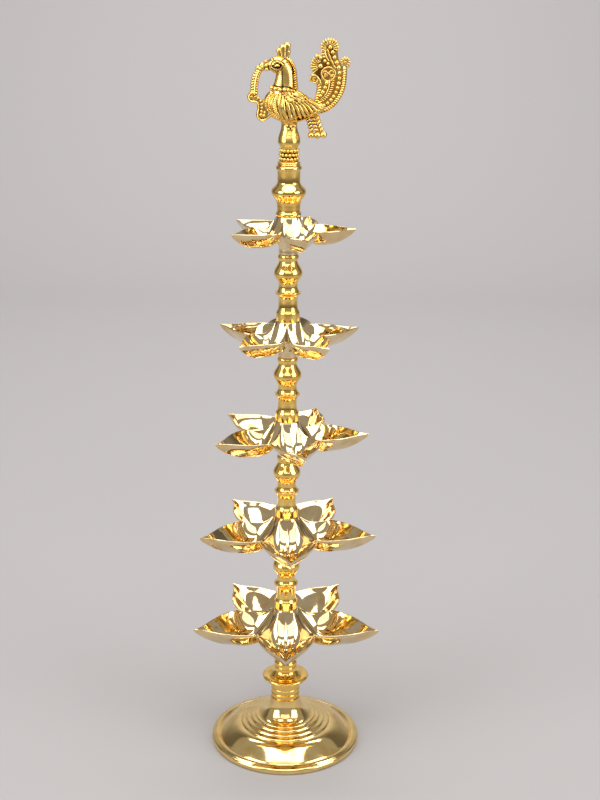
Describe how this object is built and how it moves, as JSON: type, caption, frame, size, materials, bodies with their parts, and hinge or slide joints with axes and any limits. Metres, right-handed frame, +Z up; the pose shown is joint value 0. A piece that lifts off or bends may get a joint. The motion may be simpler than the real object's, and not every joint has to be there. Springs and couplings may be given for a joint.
{
  "type": "standing oil lamp",
  "caption": "Tall brass standing oil lamp: turned stem with stacked trays of pointed petal bowls, a round dished base and a cast peacock finial.",
  "frame": {"origin": "centre of the base's resting ring, on the floor", "axes": "+Z up along the stem, front of the lamp towards -Y, peacock facing -X"},
  "size_m": [0.1674, 0.1597, 0.639],
  "materials": {
    "turned_brass": "polished, lacquered turned brass",
    "cast_brass": "mirror-polished cast brass",
    "spun_brass": "polished spun brass with fine lathe lines",
    "antique_brass": "antiqued cast brass with dark recesses",
    "bare_brass": "bare machined brass"
  },
  "bodies": {
    "lamp_base": {"base_dish": "spun_brass", "base_washer": "bare_brass", "base_nut": "bare_brass", "base_stud": "bare_brass", "pedestal": "turned_brass"},
    "stud_5": {"stud_5": "bare_brass"},
    "tray_5": {"tray_5": "cast_brass"},
    "stem_4": {"stem_4": "turned_brass"},
    "stud_4": {"stud_4": "bare_brass"},
    "tray_4": {"tray_4": "cast_brass"},
    "stem_3": {"stem_3": "turned_brass"},
    "stud_3": {"stud_3": "bare_brass"},
    "tray_3": {"tray_3": "cast_brass"},
    "stem_2": {"stem_2": "turned_brass"},
    "stud_2": {"stud_2": "bare_brass"},
    "tray_2": {"tray_2": "cast_brass"},
    "stem_1": {"stem_1": "turned_brass"},
    "stud_1": {"stud_1": "bare_brass"},
    "tray_1": {"tray_1": "cast_brass"},
    "top_stem": {"top_stem": "turned_brass"},
    "finial_stud": {"finial_stud": "bare_brass"},
    "peacock_finial": {"peacock_finial": "antique_brass"}
  },
  "joints": [
    {"name": "tray_5_turn", "type": "hinge", "parent": "lamp_base", "child": "tray_5", "pos_m": [0, 0, 0.1011], "axis": [0, 0, 1], "continuous": true},
    {"name": "stem_4_thread", "type": "hinge", "parent": "lamp_base", "child": "stud_5", "pos_m": [0, 0, 0.1336], "axis": [0, 0, 1], "range_deg": [0, 2160]},
    {"name": "stem_4_rise", "type": "slide", "parent": "stud_5", "child": "stem_4", "axis": [0, 0, 1], "range_m": [0, 0.0075]},
    {"name": "tray_4_turn", "type": "hinge", "parent": "stem_4", "child": "tray_4", "pos_m": [0, 0, 0.1911], "axis": [0, 0, 1], "continuous": true},
    {"name": "stem_3_thread", "type": "hinge", "parent": "stem_4", "child": "stud_4", "pos_m": [0, 0, 0.2236], "axis": [0, 0, 1], "range_deg": [0, 2160]},
    {"name": "stem_3_rise", "type": "slide", "parent": "stud_4", "child": "stem_3", "axis": [0, 0, 1], "range_m": [0, 0.0075]},
    {"name": "tray_3_turn", "type": "hinge", "parent": "stem_3", "child": "tray_3", "pos_m": [0, 0, 0.2811], "axis": [0, 0, 1], "continuous": true},
    {"name": "stem_2_thread", "type": "hinge", "parent": "stem_3", "child": "stud_3", "pos_m": [0, 0, 0.3136], "axis": [0, 0, 1], "range_deg": [0, 2160]},
    {"name": "stem_2_rise", "type": "slide", "parent": "stud_3", "child": "stem_2", "axis": [0, 0, 1], "range_m": [0, 0.0075]},
    {"name": "tray_2_turn", "type": "hinge", "parent": "stem_2", "child": "tray_2", "pos_m": [0, 0, 0.3711], "axis": [0, 0, 1], "continuous": true},
    {"name": "stem_1_thread", "type": "hinge", "parent": "stem_2", "child": "stud_2", "pos_m": [0, 0, 0.4036], "axis": [0, 0, 1], "range_deg": [0, 2160]},
    {"name": "stem_1_rise", "type": "slide", "parent": "stud_2", "child": "stem_1", "axis": [0, 0, 1], "range_m": [0, 0.0075]},
    {"name": "tray_1_turn", "type": "hinge", "parent": "stem_1", "child": "tray_1", "pos_m": [0, 0, 0.4611], "axis": [0, 0, 1], "continuous": true},
    {"name": "top_stem_thread", "type": "hinge", "parent": "stem_1", "child": "stud_1", "pos_m": [0, 0, 0.4936], "axis": [0, 0, 1], "range_deg": [0, 2160]},
    {"name": "top_stem_rise", "type": "slide", "parent": "stud_1", "child": "top_stem", "axis": [0, 0, 1], "range_m": [0, 0.0075]},
    {"name": "peacock_thread", "type": "hinge", "parent": "top_stem", "child": "finial_stud", "pos_m": [0, 0, 0.5355], "axis": [0, 0, 1], "range_deg": [0, 2160]},
    {"name": "peacock_rise", "type": "slide", "parent": "finial_stud", "child": "peacock_finial", "axis": [0, 0, 1], "range_m": [0, 0.0075]}
  ],
  "couplings": [
    {"joint": "stem_4_thread", "follows": "stem_4_rise", "rad_per_m": 5026.5},
    {"joint": "stem_3_thread", "follows": "stem_3_rise", "rad_per_m": 5026.5},
    {"joint": "stem_2_thread", "follows": "stem_2_rise", "rad_per_m": 5026.5},
    {"joint": "stem_1_thread", "follows": "stem_1_rise", "rad_per_m": 5026.5},
    {"joint": "top_stem_thread", "follows": "top_stem_rise", "rad_per_m": 5026.5},
    {"joint": "peacock_thread", "follows": "peacock_rise", "rad_per_m": 5026.5}
  ]
}
